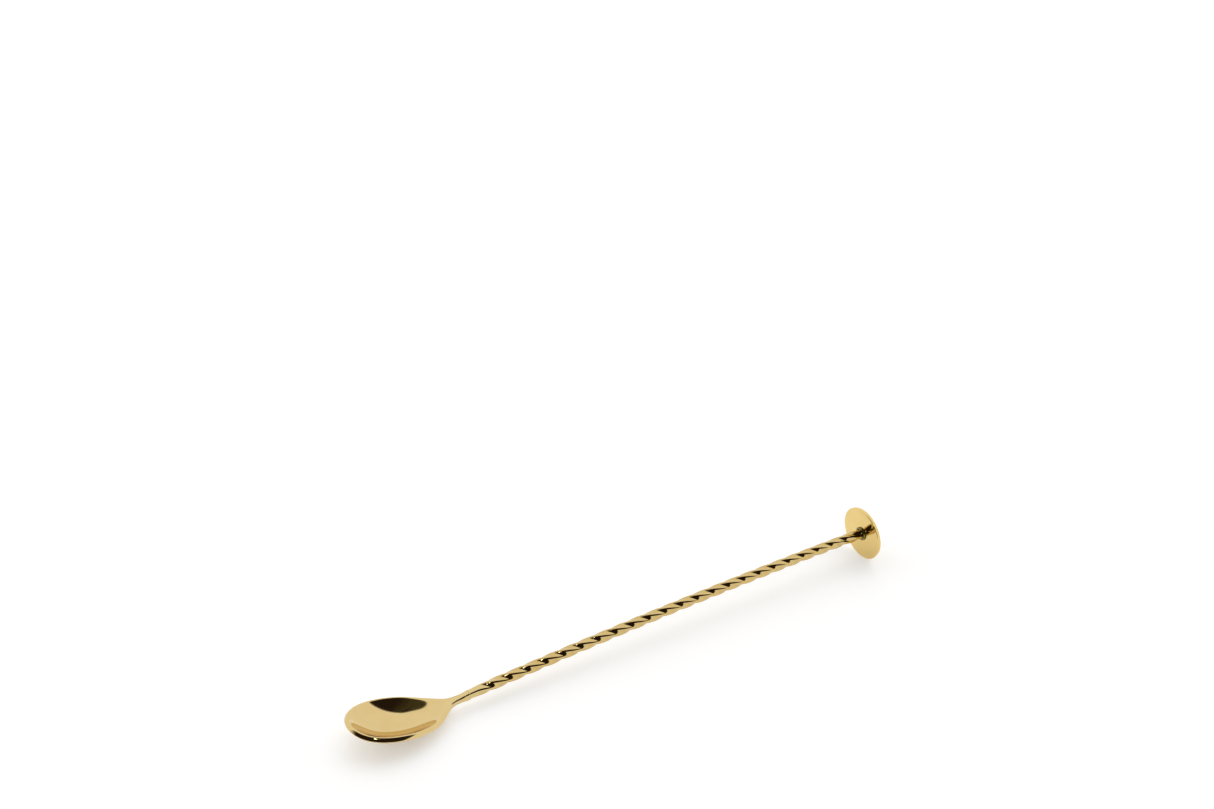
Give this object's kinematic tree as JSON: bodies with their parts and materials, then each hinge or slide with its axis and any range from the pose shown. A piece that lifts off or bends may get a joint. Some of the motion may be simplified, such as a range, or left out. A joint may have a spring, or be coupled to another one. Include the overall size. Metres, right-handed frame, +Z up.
{
  "type": "bar spoon",
  "caption": "Long bar spoon: an egg-shaped bowl, a shaft of twisted square bar and a round flat muddling disc on its end.",
  "frame": {"origin": "on the table under the middle of the spoon's whole length, as the spoon lies on its bowl and on the edge of its disc", "axes": "+X from the bowl's tip to the disc, +Z up out of the table and out of the bowl's hollow, +Y to the left of +X across the bowl"},
  "size_m": [0.2804, 0.0306, 0.0272],
  "materials": {
    "gold_bowl": "mirror-polished gold-coloured coating on stainless steel",
    "gold_shaft": "mirror-polished gold-coloured coating on twisted stainless bar",
    "gold_collar": "polished gold-coloured coating",
    "gold_disc": "mirror-polished gold-coloured coating with a rounded edge"
  },
  "bodies": {
    "root": {"spoon_bowl": "gold_bowl", "twisted_shaft": "gold_shaft", "disc_collar": "gold_collar", "muddler_disc": "gold_disc"}
  },
  "joints": []
}
